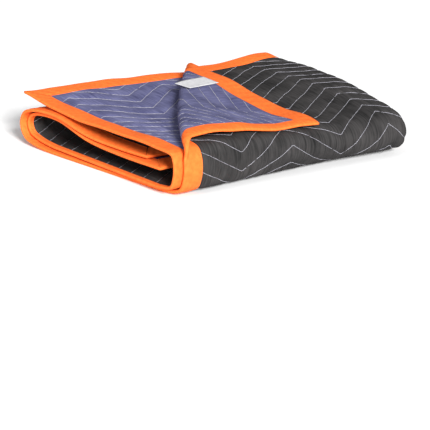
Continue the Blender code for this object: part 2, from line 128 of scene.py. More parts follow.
# The line between the two sheets, at the open end and at the closed end, from the rear edge of the
# top run round the front fold, along the floor, round the rear fold and back inside.
# y open   z open   y closed z closed
FOLD_PATH = np.array((
    (0.3120, 0.1350, 0.2650, 0.1300),    # top rear edge
    (0.1950, 0.1220, 0.1900, 0.1270),
    (0.0600, 0.1150, 0.0600, 0.1270),
    (-0.0910, 0.1140, -0.0920, 0.1180),
    (-0.2060, 0.1160, -0.1920, 0.1020),
    (-0.2750, 0.1090, -0.2580, 0.0930),
    (-0.2855, 0.0915, -0.2860, 0.0815),
    (-0.2880, 0.0710, -0.2985, 0.0560),  # front nose
    (-0.2845, 0.0460, -0.2880, 0.0305),
    (-0.2720, 0.0220, -0.2620, 0.0185),
    (-0.2150, 0.0101, -0.2110, 0.0101),
    (0.0000, 0.0101, 0.0000, 0.0101),    # bottom middle
    (0.1900, 0.0101, 0.1900, 0.0101),
    (0.2630, 0.0175, 0.2620, 0.0165),
    (0.2935, 0.0285, 0.2925, 0.0255),
    (0.3055, 0.0530, 0.3015, 0.0450),    # rear nose
    (0.2940, 0.0770, 0.2925, 0.0650),
    (0.2655, 0.0895, 0.2620, 0.0725),
    (0.1740, 0.0950, 0.1900, 0.0660),
    (0.0480, 0.0710, 0.0600, 0.0620),
    (-0.0790, 0.0650, -0.0800, 0.0570),
    (-0.2320, 0.0670, -0.2620, 0.0540),  # inner end
))
PATH_STEPS = 1600
PATH_SPARE = 0.002
SLOPE_REACH = 2                          # steps to each side that give the curve's direction
OPEN_END_X, BLEND_WIDTH = -0.33, 0.66    # between the open end's run and the closed end's

# %% [markdown]
# ## The fold as a rule
#
# One smooth curve through the table gives the run of the folds at each end of the pad. A
# centripetal curve is used because it never overshoots or loops where its points stand close
# together, as they do round a tight fold. A point of the cloth is then set off from that curve
# along its outward direction: half a sheet one way for the under sheet, the other way for the upper.


# %% A smooth curve through the fold's points
def smooth(value):
    """0 to 1, level at both ends."""
    held = np.clip(value, 0.0, 1.0)
    return held * held * (3.0 - 2.0 * held)


def smooth_curve(points):
    """A centripetal curve through the points, as PATH_STEPS points an equal distance apart."""
    ends = np.vstack([2 * points[0] - points[1], points, 2 * points[-1] - points[-2]])
    count = len(points) - 1
    place = np.linspace(0.0, count, PATH_STEPS)
    step = np.minimum(place.astype(int), count - 1)
    part = (place - step)[:, None]
    before, start, end, after = (ends[step + offset] for offset in range(4))
    root_in = np.sqrt(np.linalg.norm(start - before, axis=1, keepdims=True))
    root = np.sqrt(np.linalg.norm(end - start, axis=1, keepdims=True))
    root_out = np.sqrt(np.linalg.norm(after - end, axis=1, keepdims=True))
    slope_start = root * ((start - before) / root_in - (end - before) / (root_in + root)
                          + (end - start) / root)
    slope_end = root * ((end - start) / root - (after - start) / (root + root_out)
                        + (after - end) / root_out)
    square, cube = part ** 2, part ** 3
    curve = ((2 * cube - 3 * square + 1) * start + (cube - 2 * square + part) * slope_start
             + (3 * square - 2 * cube) * end + (cube - square) * slope_end)
    curve[:, 1] = np.maximum(curve[:, 1], FLOOR_LINE)
    reach = np.concatenate([[0.0], np.cumsum(np.linalg.norm(np.diff(curve, axis=0), axis=1))])
    even = np.linspace(0.0, reach[-1], PATH_STEPS)
    return np.stack([np.interp(even, reach, curve[:, axis]) for axis in (0, 1)], axis=1)


OPEN_PATH = smooth_curve(FOLD_PATH[:, 0:2])
CLOSED_PATH = smooth_curve(FOLD_PATH[:, 2:4])
heading = np.gradient(OPEN_PATH, axis=0)
turned = np.unwrap(np.arctan2(heading[:, 1], heading[:, 0]))
END_LAG = SHEET_HALF * abs(turned[-1] - turned[0])       # what the outer sheet loses round both folds
PATH_LENGTH = PAD_LENGTH + END_LAG
print("outer sheet ends", round(2000 * END_LAG), "mm sooner than the inner one")


# %% Where the doubled pad lies
def path_frame(along, x):
    """The folded line's y and z, and its outward direction, at a place along it and an x."""
    index = (along + PATH_SPARE) / (PATH_LENGTH + 2 * PATH_SPARE) * (PATH_STEPS - 1)
    held = np.clip(index, SLOPE_REACH, PATH_STEPS - 1 - SLOPE_REACH)
    steps = np.arange(PATH_STEPS)
    share = smooth((x - OPEN_END_X) / BLEND_WIDTH)[..., None]

    def point(at):
        opened, closed = (np.stack([np.interp(at, steps, path[:, axis]) for axis in (0, 1)], axis=-1)
                          for path in (OPEN_PATH, CLOSED_PATH))
        return opened * (1 - share) + closed * share

    step = (point(held + SLOPE_REACH) - point(held - SLOPE_REACH)) / (2 * SLOPE_REACH)
    forwards = step / np.linalg.norm(step, axis=-1, keepdims=True)
    outward = np.stack([forwards[..., 1], -forwards[..., 0]], axis=-1)
    return point(held) + step * (index - held)[..., None], outward


# Soft hollows in the top run, pressed in from above: where, how deep and how far they reach.
# x      along  deep   reach x reach along
HOLLOWS = (
    (0.100, 0.00, 0.004, 0.20, 0.25),
    (0.053, 0.40, 0.014, 0.22, 0.25),
)

# Both sheets swell and sink together, as soft cloth does that has been folded before.
# length across, length along, phase, height
SWELLS = (
    (0.210, 0.520, 0.4, 0.0013),
    (-0.130, 0.300, 1.9, 0.0008),
    (0.083, 0.410, 4.1, 0.0004),
    (0.330, -0.150, 2.6, 0.0006),
)
SWELLS_END = 0.58                        # along, where they begin to fade before the floor
SWELLS_FADE = 0.08
GATHER_HIGH = 0.0024                     # small folds on the front, fanning out from the crease's end
GATHER_ROOT = (-0.290, 0.565)
GATHER_RAYS = 31.0
GATHER_X, GATHER_WIDE = -0.238, 0.040
GATHER_ALONG, GATHER_LONG = 0.637, 0.032
CALM_X, CALM_ALONG, CALM_REACH = -0.06, 0.17, 0.19       # the stiff label holds the cloth flat here


def swell(x, along):
    """How far the doubled pad stands out from its plain fold."""
    height = 0.0
    for length_x, length_along, phase, high in SWELLS:
        height = height + high * np.sin(2 * math.pi * (x / length_x + along / length_along) + phase)
    height = height * smooth(np.hypot(x - CALM_X, along - CALM_ALONG) / CALM_REACH)
    height = height * (1 - smooth((along - SWELLS_END) / SWELLS_FADE))
    near = np.exp(-((x - GATHER_X) / GATHER_WIDE) ** 2 - ((along - GATHER_ALONG) / GATHER_LONG) ** 2)
    fold = np.sin(GATHER_RAYS * np.arctan2(along - GATHER_ROOT[1], x - GATHER_ROOT[0]))
    return height + GATHER_HIGH * near * fold


def doubled_point(across, along, off):
    """Where a place on the cloth lies, with the corner not yet turned back."""
    across, along, off = np.broadcast_arrays(across, along, off)
    side = np.sign(across)
    round_half = math.pi * CLOSED_END_RADIUS / 2
    run = np.maximum(np.abs(across) - round_half, 0.0)
    turn = np.clip(across / CLOSED_END_RADIUS, -math.pi / 2, math.pi / 2)
    settled = smooth(run / SETTLE)
    radius = CLOSED_END_RADIUS + off
    x_end = CLOSED_END_X + radius * np.cos(turn) * (run == 0.0)
    from_line = radius * np.sin(turn) + side * (SHEET_HALF - CLOSED_END_RADIUS) * settled
    from_line = from_line + swell(x_end - run, along)
    lift = (CLOSED_END_RADIUS - SHEET_HALF) * (1 - settled)
    line, outward = path_frame(along, x_end - run)
    rearward = line[..., 0] / DEPTH_HALF
    front_share = np.clip((1 - rearward) / 2, 0.0, 1.0)
    side_shift = UPPER_FRONT_IN * front_share - UPPER_REAR_OUT * (1 - front_share)
    x = x_end - run * (1 + REAR_LONGER * rearward)
    x = x + side_shift * (run / HALF_WIDTH) * (side > 0)
    y = line[..., 0] + from_line * outward[..., 0]
    z = line[..., 1] + from_line * outward[..., 1] + lift
    for centre_x, centre_along, deep, reach_x, reach_along in HOLLOWS:
        away = np.hypot((x - centre_x) / reach_x, (along - centre_along) / reach_along)
        z = z - deep * (1 - smooth(away))
    return np.stack([x, y, z], axis=-1)


# %% [markdown]
# ## The turned-back corner
#
# The corner is the upper sheet folded over a slanting crease. Past the crease a point goes round
# a half circle and then lies back over the sheet, black against black. Quilted cloth doesn't fold
# like paper, so the corner is also drawn a little aside, and its tip and front edge stand proud.

# %% Sizes of the turned-back corner
CREASE_ON_REAR = 0.457                   # from the corner to the crease, along the rear edge
CREASE_ON_SIDE = 0.634                   # and along the side edge
RADIUS_AT_REAR = 0.0085                  # round the crease, at the middle of the cloth
RADIUS_AT_SIDE = 0.0136
FLAP_HEIGHT = 0.0110                     # of the turned corner over the sheet that it lies on
FLAP_SETTLE = 0.167
TIP_LIFT = 0.008
TIP_BEND = 0.12
SPAN_LIFT = 0.0064
SPAN_LONG = 0.225
SPAN_WIDE = 0.20
TIP_SLEW_ACROSS = -0.475
TIP_SLEW_ALONG = 0.451
CREASE_SPAN = math.hypot(CREASE_ON_REAR, CREASE_ON_SIDE)
PAST_ACROSS = CREASE_ON_SIDE / CREASE_SPAN
PAST_ALONG = CREASE_ON_REAR / CREASE_SPAN
CORNER_PAST = CREASE_ON_REAR * CREASE_ON_SIDE / CREASE_SPAN


def crease_radius(crease_along):
    """The radius round the crease, at a place along it."""
    share = np.clip(crease_along / CREASE_ON_SIDE, 0.0, 1.0)
    return RADIUS_AT_REAR + (RADIUS_AT_SIDE - RADIUS_AT_REAR) * share


FLAP_END = CORNER_PAST - math.pi * crease_radius(0.5 * CREASE_ON_SIDE)


def past_crease(across, along):
    """How far a place lies past the crease, towards the turned corner."""
    return CORNER_PAST - (HALF_WIDTH - across) * PAST_ACROSS - along * PAST_ALONG


def cloth_point(across, along, off):
    """Where a place on the cloth lies in the fold, about the fold rule's own middle."""
    across, along, off = np.broadcast_arrays(across, along, off)
    past = past_crease(across, along)
    crease_across = across - past * PAST_ACROSS
    crease_along = along + past * PAST_ALONG
    radius = crease_radius(crease_along)
    turn = np.clip(past / radius, 0.0, math.pi)
    flat = np.maximum(past - math.pi * radius, 0.0)
    drop = (2 * radius - FLAP_HEIGHT) * smooth(flat / FLAP_SETTLE)
    drop = drop - TIP_LIFT * smooth((flat - FLAP_END + TIP_BEND) / TIP_BEND)
    span = np.clip(flat / SPAN_LONG, 0.0, 1.0)
    drop = drop - SPAN_LIFT * 4 * span * (1 - span) * (1 - smooth((HALF_WIDTH - across) / SPAN_WIDE))
    above = radius - (radius - off) * np.cos(turn) - drop
    inward = flat - (radius - off) * np.sin(turn)
    laid_across = crease_across - inward * PAST_ACROSS - flat * TIP_SLEW_ACROSS
    laid_along = crease_along + inward * PAST_ALONG + flat * TIP_SLEW_ALONG
    turned_back = doubled_point(laid_across, laid_along, above)
    return np.where((past > 0)[..., None], turned_back, doubled_point(across, along, off))


def placed(across, along, off):
    """The same place, in the frame's own axes."""
    return cloth_point(across, along, off) - np.array(PAD_MIDDLE)


# %% [markdown]
# ## The quilting
#
# A many-needled machine sews rows of stitches side by side while the cloth is shifted to and fro,
# which draws zigzags. A row is described by where it lies along the pad at each place across it.
# The columns are where the zigzags turn. They lean a little, because such cloth is seldom fed
# in quite straight, and on the under sheet the rows have been pulled a little towards the front.

# %% Where the quilting rows run
ROW_SPACING = 0.0457
FIRST_ROW = 0.0795
ZIGZAG_DEPTH = 0.088
ROW_SLOPE = 0.085                        # on the upper sheet, metres along for each metre across
COLUMN_LEAN = -0.088                     # metres across for each metre along
LEAN_FROM = 0.30
SLOPE_FROM = 0.084
# Across, where a zigzag turns, and whether it points to the rear (0) or to the front (1).
TURNS = np.array(((-0.773, 1), (-0.637, 0), (-0.501, 1), (-0.384, 0), (-0.267, 1), (-0.150, 0),
                  (-0.033, 1), (0.084, 0), (0.238, 1), (0.392, 0), (0.546, 1), (0.700, 0)))
PULLED = 0.045                           # how far the rows are pulled forward on the under sheet
PULL_STARTS, PULL_GROWS = 0.06, 0.27     # along
PULL_FADES, PULL_FADE_LONG = 0.33, 0.34
PULL_EDGE, PULL_WIDE = -0.25, 0.2        # across
ROW_TRIES = 30                           # a row's place is found in this many steps


def row_shift(straight, across, along):
    """How far a row lies forward of its place, at a leaning column and a place on the cloth."""
    zigzag = ZIGZAG_DEPTH * np.interp(straight, TURNS[:, 0], TURNS[:, 1])
    sloped = ROW_SLOPE * np.maximum(straight - SLOPE_FROM, 0.0)
    pulled = PULLED * smooth((along - PULL_STARTS) / PULL_GROWS)
    pulled = pulled * (1 - smooth((along - PULL_FADES) / PULL_FADE_LONG))
    return zigzag + sloped + pulled * smooth((PULL_EDGE - across) / PULL_WIDE)


def row_number(across, along):
    """Which row a place lies on, as a number with a fraction between rows."""
    straight = across - COLUMN_LEAN * (along - LEAN_FROM)
    return (along - FIRST_ROW - row_shift(straight, across, along)) / ROW_SPACING


def row_place(number, straight):
    """The place on the cloth of a row number and a leaning column."""
    straight, number = np.broadcast_arrays(straight, number)
    along = FIRST_ROW + ROW_SPACING * number
    for _ in range(ROW_TRIES):
        across = straight + COLUMN_LEAN * (along - LEAN_FROM)
        along = 0.5 * along + 0.5 * (FIRST_ROW + ROW_SPACING * number
                                     + row_shift(straight, across, along))
    return across, along


def end_along(across):
    """Where the inner end lies: the outer sheet ends sooner."""
    return PAD_LENGTH - END_LAG * across / HALF_WIDTH


# %% [markdown]
# ## Bound edges
#
# Each edge has its own tape, folded over it. A tape reaches further in on the black side of the
# upper sheet than on its blue side, because the folder on the machine wasn't centred. The table
# gives both widths; the tapes, the pressed cloth under them and the stitches all read it.

# %% Widths of the tapes
# edge: width on the black side, width on the blue side
TAPES = {
    "upper side": (0.050, 0.020),
    "under side": (0.012, 0.038),
    "rear edge": (0.050, 0.050),
    "inner end": (0.060, 0.060),
}
REAR_ON_CORNER = 0.074                   # the rear tape on the turned corner, which draws it narrower
REAR_WIDENS, REAR_WIDENS_LONG = -0.05, 0.10           # across, where it gets that wide
TAPE_THICK = 0.0010
PRESSED_HALF = 0.0024                    # half the pad's thickness where a tape holds it
PUFF_RAMP = 0.015                        # over which the pad fills out again
PLY_GAP = 0.00025


def tape_width(edge, face, across):
    """How far in a tape reaches, on the black face (0) or the blue face (1)."""
    width = TAPES[edge][face] + 0.0 * across
    if edge == "rear edge" and face == 1:
        wider = smooth((across - REAR_WIDENS) / REAR_WIDENS_LONG)
        width = width + (REAR_ON_CORNER - TAPES[edge][face]) * wider
    return width


def edge_inset(edge, across, along):
    """How far in from an edge a place lies."""
    return {"upper side": HALF_WIDTH - across, "under side": HALF_WIDTH + across,
            "rear edge": along, "inner end": end_along(across) - along}[edge]


def beside_tapes(face, across, along):
    """How far a place lies in from the nearest tape's inner edge."""
    return np.min([edge_inset(edge, across, along) - tape_width(edge, face, across)
                   for edge in TAPES], axis=0)


# %% [markdown]
# ## The two faces of the quilt
#
# Each face is a closed piece from just off the middle of the padding out to its surface. Its mesh
# follows the quilting: points stand in rows that run with the zigzags, so that each stitched
# valley lies on a line of points. The crease needs much closer points, along lines of its own.
# A Delaunay triangulation joins such mixed points with well-shaped triangles. Where a face is
# hidden in the fold, only every fourth point is kept.

# %% Points and triangles of a flat panel
POINT_STEP = 0.0052                      # between columns of points
POINTS_PER_ROW = 8
FIRST_NUMBER, LAST_NUMBER = -8, 44       # of the rows that can touch the cloth
PAST_TURNS = 0.1                         # how far the columns go on past the last turn
HIDDEN_EVERY = 2                         # a hidden face keeps every second column and every second row
CREASE_STEPS = 14
CREASE_STEP = 0.006                      # along the crease
CREASE_LEAD, CREASE_TAIL = 0.004, 0.005  # the close points start this far before it and end after it
BORDER_STEP = 0.006
KEEP_OFF = 0.0025                        # from the border and from the crease's own points
SAME_POINT = 1e-5
BLACK_SHOWS = (-0.06, 0.80)              # across from here on, and along up to here
BLUE_SHOWS = (-0.02, 0.62)               # across up to here, and along up to here
BLUE_BEFORE_CREASE = 0.01


def crease_line(turn, beyond):
    """Both ends of a line that lies so far round the crease, in radians, and so far beyond that."""
    opening = (RADIUS_AT_SIDE - RADIUS_AT_REAR) / CREASE_ON_SIDE
    on_rear = (turn * RADIUS_AT_REAR + beyond) / (1 - turn * opening * PAST_ALONG)
    on_side = (turn * RADIUS_AT_SIDE + beyond) / (1 + turn * opening * (1 / PAST_ALONG - PAST_ALONG))
    return (np.array((HALF_WIDTH - (CORNER_PAST - on_rear) / PAST_ACROSS, 0.0)),
            np.array((HALF_WIDTH, (CORNER_PAST - on_side) / PAST_ALONG)))


def crease_points():
    """Points along lines that run with the crease, from just before it to just past its round."""
    lines = [crease_line(0.0, -CREASE_LEAD)]
    lines += [crease_line(math.pi * step / CREASE_STEPS, 0.0) for step in range(CREASE_STEPS + 1)]
    lines += [crease_line(math.pi, CREASE_TAIL)]
    rows = []
    for start, end in lines:
        count = int(np.linalg.norm(end - start) / CREASE_STEP)
        share = np.linspace(0.0, 1.0, count + 1)[:, None]
        rows.append(start * (1 - share) + end * share)
    return np.vstack(rows)


def border_points():
    """Points round the edge of the cloth."""
    rear = np.arange(-HALF_WIDTH, HALF_WIDTH, BORDER_STEP)
    upper = np.arange(0.0, end_along(HALF_WIDTH), BORDER_STEP)
    under = np.arange(0.0, end_along(-HALF_WIDTH), BORDER_STEP)
    return np.vstack([
        np.stack([rear, 0 * rear], axis=1),
        np.stack([0 * upper + HALF_WIDTH, upper], axis=1),
        np.stack([-rear, end_along(-rear)], axis=1),
        np.stack([0 * under - HALF_WIDTH, end_along(-HALF_WIDTH) - under], axis=1),
    ])


def flat_panel(shows):
    """Points (across, along) and triangles of the flat cloth, fine where shows(across, along)."""
    columns = np.arange(TURNS[0, 0], TURNS[-1, 0] + PAST_TURNS, POINT_STEP)
    numbers = np.arange(FIRST_NUMBER * POINTS_PER_ROW, LAST_NUMBER * POINTS_PER_ROW) / POINTS_PER_ROW
    column_index, number_index = np.meshgrid(np.arange(len(columns)), np.arange(len(numbers)))
    across, along = row_place(numbers[number_index], columns[column_index])
    coarse = (column_index % HIDDEN_EVERY == 0) & (number_index % HIDDEN_EVERY == 0)
    inside = (np.abs(across) < HALF_WIDTH - KEEP_OFF) & (along > KEEP_OFF)
    inside &= along < end_along(across) - KEEP_OFF
    past = past_crease(across, along)
    round_end = math.pi * crease_radius(along + past * PAST_ALONG)
    inside &= (past < -CREASE_LEAD - KEEP_OFF) | (past > round_end + CREASE_TAIL + KEEP_OFF)
    kept = inside & (coarse | shows(across, along))
    border = border_points()
    points = np.vstack([border, crease_points(), np.stack([across[kept], along[kept]], axis=1)])
    loop = list(range(len(border)))
    made = delaunay_2d_cdt([Vector(point) for point in points], [], [loop], 1, SAME_POINT)
    triangles = np.array([tuple(face) for face in made[2] if len(face) == 3])
    return np.array([tuple(point) for point in made[0]]), triangles


def black_shows(across, along):
    """Where the black face can be seen: the top, the front fold, and the start of the bottom."""
    start, end = BLACK_SHOWS
    return (across > start) & (along < end) & (past_crease(across, along) < 0.0)


def blue_shows(across, along):
    """Where the blue face can be seen: the under sheet's top run, and the turned corner."""
    side, end = BLUE_SHOWS
    return ((across < side) & (along < end)) | (past_crease(across, along) > -BLUE_BEFORE_CREASE)


black_flat = flat_panel(black_shows)
blue_flat = flat_panel(blue_shows)
print("triangles in one skin: black", len(black_flat[1]), "blue", len(blue_flat[1]))

# %% [markdown]
# ## How thick the quilt is
#
# Padding swells between the rows and is drawn down to a valley where the thread holds it. Along
# the valleys the cloth gathers into short puckers that run from row to row. All of this only
# takes thickness away from the full pad, so that sheets lying close never cut into each other.

# %% The quilt's surface
VALLEY_DEEP = 0.0021
VALLEY_WIDE = 0.0060
PUCKER_DEEP = 0.0009
PUCKER_LENGTH = 0.034
PUCKER_FADES = 0.55                      # how much weaker the puckers are midway between two rows
DRIFT_TURN = 2.0                         # the puckers wander, by so many radians
DRIFT_ACROSS, DRIFT_ALONG = 0.23, 0.17
ROW_STIR, SEED_STIR, FAR_DIGITS = 12.9898, 78.233, 43758.5453      # a well-known stirring rule
SIDES = (1, -1)                          # off the middle, the black face lies up and the blue one down


def row_random(number, seed):
    """A number from 0 to 1 for each row that looks random and is always the same."""
    value = np.sin(np.round(number) * ROW_STIR + seed * SEED_STIR) * FAR_DIGITS
    return value - np.floor(value)


def skin_half(face, across, along):
    """Half the pad's thickness at a place on the black face (0) or the blue face (1)."""
    beside = beside_tapes(face, across, along)
    number = row_number(across, along)
    from_row = np.abs(number - np.round(number)) * ROW_SPACING
    between = 1 - np.exp(-(from_row / VALLEY_WIDE) ** 2)
    phase = 2 * math.pi * (across / PUCKER_LENGTH + row_random(np.floor(number), face))
    drift = DRIFT_TURN * np.sin(2 * math.pi * (across / DRIFT_ACROSS + along / DRIFT_ALONG))
    pucker = (0.5 + 0.5 * np.sin(phase + drift)) * (1 - between * PUCKER_FADES)
    full = CLOTH_HALF - VALLEY_DEEP * (1 - between) - PUCKER_DEEP * pucker
    return PRESSED_HALF + (full - PRESSED_HALF) * smooth(beside / PUFF_RAMP)


# %% A closed mesh from a flat one
def finished_mesh(name, points, faces, places=None):
    """A smooth-shaded object from points and faces; places become its UV map, in metres."""
    mesh = bpy.data.meshes.new(name)
    mesh.from_pydata(points.tolist(), [], faces)
    mesh.shade_smooth()
    if places is not None:
        corners = np.empty(len(mesh.loops), dtype=np.int32)
        mesh.loops.foreach_get("vertex_index", corners)
        layer = mesh.uv_layers.new(name="cloth")
        layer.uv.foreach_set("vector", places[corners].astype(np.float32).ravel())
    return add_object(name, mesh)


def face_panel(name, flat, face):
    """One face of the quilt, from just off the middle of the padding out to its surface."""
    places, triangles = flat
    across, along = places[:, 0], places[:, 1]
    outside = placed(across, along, SIDES[face] * skin_half(face, across, along))
    inside = placed(across, along, SIDES[face] * PLY_GAP + 0 * across)
    corners = outside[triangles]
    square = np.cross(corners[:, 1] - corners[:, 0], corners[:, 2] - corners[:, 0])
    if np.sum(square * (outside - inside)[triangles[:, 0]]) < 0:
        triangles = triangles[:, ::-1]
    edges = np.vstack([triangles[:, (0, 1)], triangles[:, (1, 2)], triangles[:, (2, 0)]])
    count = len(places)
    twins = {(end, start) for start, end in edges.tolist()}
    walls = [(end, start, start + count, end + count) for start, end in edges.tolist()
             if (start, end) not in twins]
    faces = triangles.tolist() + (triangles[:, ::-1] + count).tolist() + walls
    return finished_mesh(name, np.vstack([outside, inside]), faces, np.vstack([places, places]))


black_panel = face_panel("black_face", black_flat, 0)
blue_panel = face_panel("blue_face", blue_flat, 1)
print("faces: black", len(black_panel.data.polygons), "blue", len(blue_panel.data.polygons))

# %% [markdown]
# ## The tape
#
# The edge tape is one long strip folded over the cut edge, so each tape is a U-shaped section
# drawn along its edge. Where two tapes meet at a corner they are mitred: the further in a point
# of the section lies, the later the strip starts. A sewn tape is never quite flat. Its stitch line
# sinks in, and its outer part ripples because the feed pulls one layer more than the other.

# %% The tape's section and its stations
TAPE_OFF_CLOTH = 0.0003
NOSE_OUT = 0.0026                        # how far the tape's fold stands out past the cloth
MITRE_GAP = 0.0004
SEW_LINE = 0.0045                        # from the tape's inner edge to its stitches
SEW_SINK = 0.0008
SEW_WIDE = 0.0016
RIPPLE_HIGH = 0.0009
RIPPLE_LENGTH = 0.023
RIPPLE_WANDERS, WANDER_LENGTH = 2.4, 0.19
RIPPLE_LEANS = 1.5
RIPPLE_LEAST, UNEVEN_LENGTH = 0.35, 0.31
LOOSE_EDGE, LOOSE_IN = 4, 0.12           # the ripple ends at the tape's edge and at its fold
HIDDEN_FROM = 1.37                       # along, where the side tapes run on inside the fold
SHOWN_STEP, HIDDEN_STEP = 0.0042, 0.008
# Where the stations stand close together: from, to, step.
CLOSE_ON_SIDE = (CREASE_ON_SIDE - 0.155, CREASE_ON_SIDE + 0.012, 0.0013)
CLOSE_ON_REAR = (PAD_WIDTH - CREASE_ON_REAR - 0.012, PAD_WIDTH - CREASE_ON_REAR + 0.105, 0.0011)
CLOSE_AT_END = (HALF_WIDTH - 0.024, HALF_WIDTH + 0.024, 0.0016)
LEAST_STEP = 0.0004
FACE_STEPS = np.array((1.0, 0.985, 0.945, 0.90, 0.85, 0.70, 0.50, 0.30, 0.12, 0.0))
NOSE_STEPS = np.radians((60, 30, 0, -30, -60))
# edge: which edge it meets at its start and at its end
MEETS = {
    "upper side": ("rear edge", "inner end"),
    "under side": ("rear edge", "inner end"),
    "rear edge": ("under side", "upper side"),
    "inner end": ("under side", "upper side"),
}


def edge_place(edge, run, inset):
    """The place on the cloth at a distance along an edge and a distance in from it."""
    if edge == "upper side":
        return HALF_WIDTH - inset + 0.0 * run, run
    if edge == "under side":
        return inset - HALF_WIDTH + 0.0 * run, run
    across = run - HALF_WIDTH
    return across, inset if edge == "rear edge" else end_along(across) - inset


def edge_length(edge):
    """How long an edge is."""
    ends = {"upper side": end_along(HALF_WIDTH), "under side": end_along(-HALF_WIDTH)}
    return ends.get(edge, PAD_WIDTH)


def edge_stations(edge):
    """Distances along an edge, close together at the crease and at the closed end."""
    length = edge_length(edge)
    runs = [np.arange(0.0, min(length, HIDDEN_FROM), SHOWN_STEP),
            np.arange(HIDDEN_FROM, length, HIDDEN_STEP), [length]]
    close = {"upper side": (CLOSE_ON_SIDE,), "rear edge": (CLOSE_ON_REAR, CLOSE_AT_END),
             "inner end": (CLOSE_AT_END,)}
    runs += [np.arange(*reach) for reach in close.get(edge, ())]
    stations = np.unique(np.concatenate(runs))
    return stations[np.concatenate([[True], np.diff(stations) > LEAST_STEP])] / stations[-1]


def tape_surface(edge, face, share, run):
    """Height of the tape's outer face off the middle of the cloth, at a share of its width."""
    width = TAPES[edge][face]
    wander = RIPPLE_WANDERS * np.sin(2 * math.pi * run / WANDER_LENGTH + face)
    ripple = 0.5 + 0.5 * np.sin(2 * math.pi * run / RIPPLE_LENGTH + wander + RIPPLE_LEANS * share)
    uneven = 0.5 + 0.5 * np.sin(2 * math.pi * run / UNEVEN_LENGTH + 2 * face)
    uneven = RIPPLE_LEAST + (1 - RIPPLE_LEAST) * uneven
    sewn = np.exp(-(((1 - share) * width - SEW_LINE) / SEW_WIDE) ** 2)
    loose = np.clip(LOOSE_EDGE * (1 - share), 0.0, 1.0) * smooth(share / LOOSE_IN)
    height = TAPE_THICK + RIPPLE_HIGH * ripple * uneven * loose - SEW_SINK * sewn
    return PRESSED_HALF + TAPE_OFF_CLOTH + np.where(share >= 1.0, 0.5 * TAPE_THICK, height)


def tape_section(edge, run, outside):
    """Insets and heights of the section at places along an edge, black side first."""
    flat = PRESSED_HALF + TAPE_OFF_CLOTH
    across = edge_place(edge, run, 0.0)[0]
    reach, thick = (NOSE_OUT, flat + TAPE_THICK) if outside else (NOSE_OUT - TAPE_THICK, flat)

    def on_face(face, share):
        tall = tape_surface(edge, face, share, run) if outside else flat + 0.0 * run
        return share * tape_width(edge, face, across), SIDES[face] * tall

    section = [on_face(0, share) for share in FACE_STEPS]
    section += [(-reach * math.cos(turn) + 0.0 * run, thick * math.sin(turn) + 0.0 * run)
                for turn in NOSE_STEPS]
    section += [on_face(1, share) for share in FACE_STEPS[::-1]]
    return np.array(section).swapaxes(0, 1)


def mitre_share(edge, other, insets):
    """How much later the tape starts for each metre further in."""
    share = np.ones_like(insets)
    at_upper = HALF_WIDTH if "upper side" in (edge, other) else -HALF_WIDTH
    for face, rows in ((0, slice(None, len(FACE_STEPS))), (1, slice(-len(FACE_STEPS), None))):
        share[rows] = tape_width(other, face, at_upper) / tape_width(edge, face, at_upper)
    return share


def tape(name, edge):
    """The whole tape along one edge, as a closed mesh."""
    stations = edge_stations(edge)
    length = edge_length(edge)
    skins, maps = [], []
    for outside in (True, False):
        insets, heights = tape_section(edge, stations * length, outside)
        at_start, at_end = (mitre_share(edge, other, insets) for other in MEETS[edge])
        start = insets * at_start + MITRE_GAP
        end = length - insets * at_end - MITRE_GAP
        run = start + (end - start) * stations
        across, along = edge_place(edge, run, insets)
        skins.append(placed(across, along, heights))
        maps.append(np.stack([run, insets * np.where(heights < 0, -1.0, 1.0)], axis=-1))
    loop = np.concatenate([skins[0], skins[1][::-1]], axis=0)
    places = np.concatenate([maps[0], maps[1][::-1]], axis=0)
    ring, steps = loop.shape[0], loop.shape[1]
    index = np.arange(ring * steps).reshape(ring, steps)
    after = np.roll(index, -1, axis=0)
    quads = np.stack([index[:, :-1], after[:, :-1], after[:, 1:], index[:, 1:]], axis=-1).reshape(-1, 4)
    pairs = [(row, row + 1, ring - 2 - row, ring - 1 - row) for row in range(ring // 2 - 1)]
    caps = [tuple(int(index[row, 0]) for row in pair[::-1]) for pair in pairs]
    caps += [tuple(int(index[row, -1]) for row in pair) for pair in pairs]
    made = finished_mesh(name, loop.reshape(-1, 3), quads.tolist() + caps, places.reshape(-1, 2))
    corners = loop.reshape(-1, 3)[quads]
    volume = np.sum(np.cross(corners[:, 0], corners[:, 1]) * corners[:, 2]
                    + np.cross(corners[:, 0], corners[:, 2]) * corners[:, 3])
    if volume < 0:
        made.data.flip_normals()
    print(name, len(made.data.polygons), "faces,", round(length, 3), "m long")
    return made


tapes = {edge: tape(edge.replace(" ", "_") + "_tape", edge) for edge in TAPES}

# %% [markdown]
# ## The label
#
# A woven label is sewn by one end to the turned corner, beside the tape. It is stiff enough to
# stand straight where the corner rolls over its crease, so its free end only droops a little.

# %% The blank label
LABEL_LENGTH = 0.105
LABEL_WIDTH = 0.052
LABEL_THICK = 0.0008
LABEL_GAP = 0.0009
LABEL_PLACE = (0.396, 0.0752)
LABEL_TURN = math.radians(16.0)
LABEL_DROOP = 5.5
LABEL_CURL = 0.0016                      # how far the corners of its free end stand up
LABEL_GRID = (31, 13)
LABEL_STEP = 0.004                       # a short way on the cloth, to find its directions
CREASE_SPOTS = (0.05, 0.20)              # two places along the crease, to each side of the label


def on_corner(across, along):
    """A point on the blue face."""
    return Vector(placed(across, along, -CLOTH_HALF))


